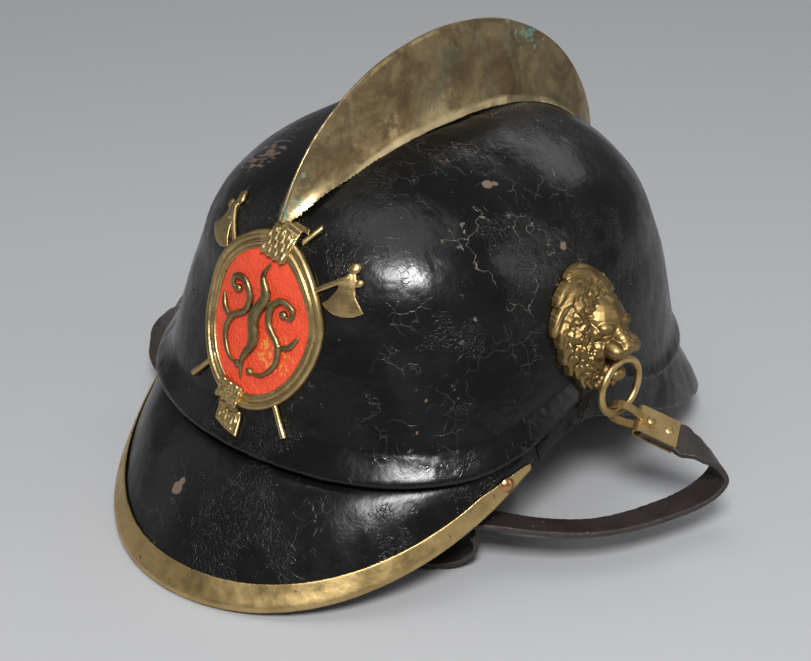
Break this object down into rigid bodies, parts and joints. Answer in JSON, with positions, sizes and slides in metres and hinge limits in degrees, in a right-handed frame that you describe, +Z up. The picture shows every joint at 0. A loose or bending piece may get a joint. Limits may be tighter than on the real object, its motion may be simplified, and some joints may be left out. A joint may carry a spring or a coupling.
{
  "type": "firefighter helmet",
  "caption": "Antique leather firefighter helmet with a tall brass comb, oval front badge, lion-mask side bosses with rings, brass-edged peak, neck guard and an open two-part chin strap.",
  "frame": {"origin": "on the table plane, under the middle of the skull", "axes": "+Z up through the crown, +Y toward the neck guard, +X toward the wearer's left, the peak points to -Y"},
  "size_m": [0.2882, 0.3136, 0.2088],
  "materials": {
    "black_leather": "black lacquered leather, semi-gloss, crazed and worn",
    "brown_leather": "tan liner leather, matt, darkened with age",
    "strap_leather": "dark brown strap leather, satin, brown cut edges",
    "brass": "stamped brass, softly polished, aged",
    "comb_brass": "brass sheet with a mottled brown and green patina",
    "copper": "copper rivet, dull",
    "steel": "plain steel, dull",
    "red_enamel": "vermilion enamel on a stippled brass plate"
  },
  "bodies": {
    "helmet": {"skull_shell": "black_leather", "rim_welt": "black_leather", "front_peak": "black_leather", "neck_guard": "black_leather", "peak_trim": "brass", "peak_trim_rivets": "copper", "comb_left": "comb_brass", "comb_right": "comb_brass", "comb_ridge": "comb_brass", "comb_studs": "brass", "comb_washers": "steel", "comb_nuts": "steel", "badge_frame": "brass", "badge_field": "red_enamel", "badge_axes": "brass", "badge_knots": "brass", "badge_tail": "brass", "badge_top_plate": "brass", "badge_ornament": "brass", "badge_studs": "brass", "badge_washers": "steel", "badge_nuts": "steel", "lion_boss_left": "brass", "lion_boss_right": "brass", "boss_studs": "brass", "boss_washers": "steel", "boss_nuts": "steel", "sweatband": "brown_leather", "liner_tongues": "brown_leather"},
    "ring_left": {"ring_left": "brass"},
    "strap_left": {"strap_loop_left": "brass", "strap_clamp_left": "brass", "clamp_rivets_left": "brass", "chin_strap_left": "strap_leather"},
    "ring_right": {"ring_right": "brass"},
    "strap_right": {"strap_loop_right": "brass", "strap_clamp_right": "brass", "clamp_rivets_right": "brass", "chin_strap_right": "strap_leather", "buckle_chape": "strap_leather", "lap_rivets": "brass"},
    "buckle": {"buckle_frame": "brass"},
    "prong": {"buckle_prong": "brass"}
  },
  "joints": [
    {"name": "ring_left_swing", "type": "hinge", "parent": "helmet", "child": "ring_left", "pos_m": [0.1125, 0.008, 0.0895], "axis": [0, -1, 0], "range_deg": [-2, 90]},
    {"name": "strap_left_swing", "type": "hinge", "parent": "ring_left", "child": "strap_left", "pos_m": [0.1125, 0.008, 0.0645], "axis": [0, -1, 0], "range_deg": [-5, 45]},
    {"name": "ring_right_swing", "type": "hinge", "parent": "helmet", "child": "ring_right", "pos_m": [-0.1125, 0.008, 0.0895], "axis": [0, 1, 0], "range_deg": [-2, 90]},
    {"name": "strap_right_swing", "type": "hinge", "parent": "ring_right", "child": "strap_right", "pos_m": [-0.1125, -0.00224, 0.06983], "axis": [0, 0.5736, -0.8192], "range_deg": [-5, 45]},
    {"name": "buckle_frame_swing", "type": "hinge", "parent": "strap_right", "child": "buckle", "pos_m": [-0.0188, -0.0372, 0.0047], "axis": [-0.1, -0.995, 0], "range_deg": [-15, 40]},
    {"name": "buckle_prong_swing", "type": "hinge", "parent": "buckle", "child": "prong", "pos_m": [-0.0188, -0.0372, 0.0047], "axis": [-0.1, -0.995, 0], "range_deg": [0, 90]}
  ]
}
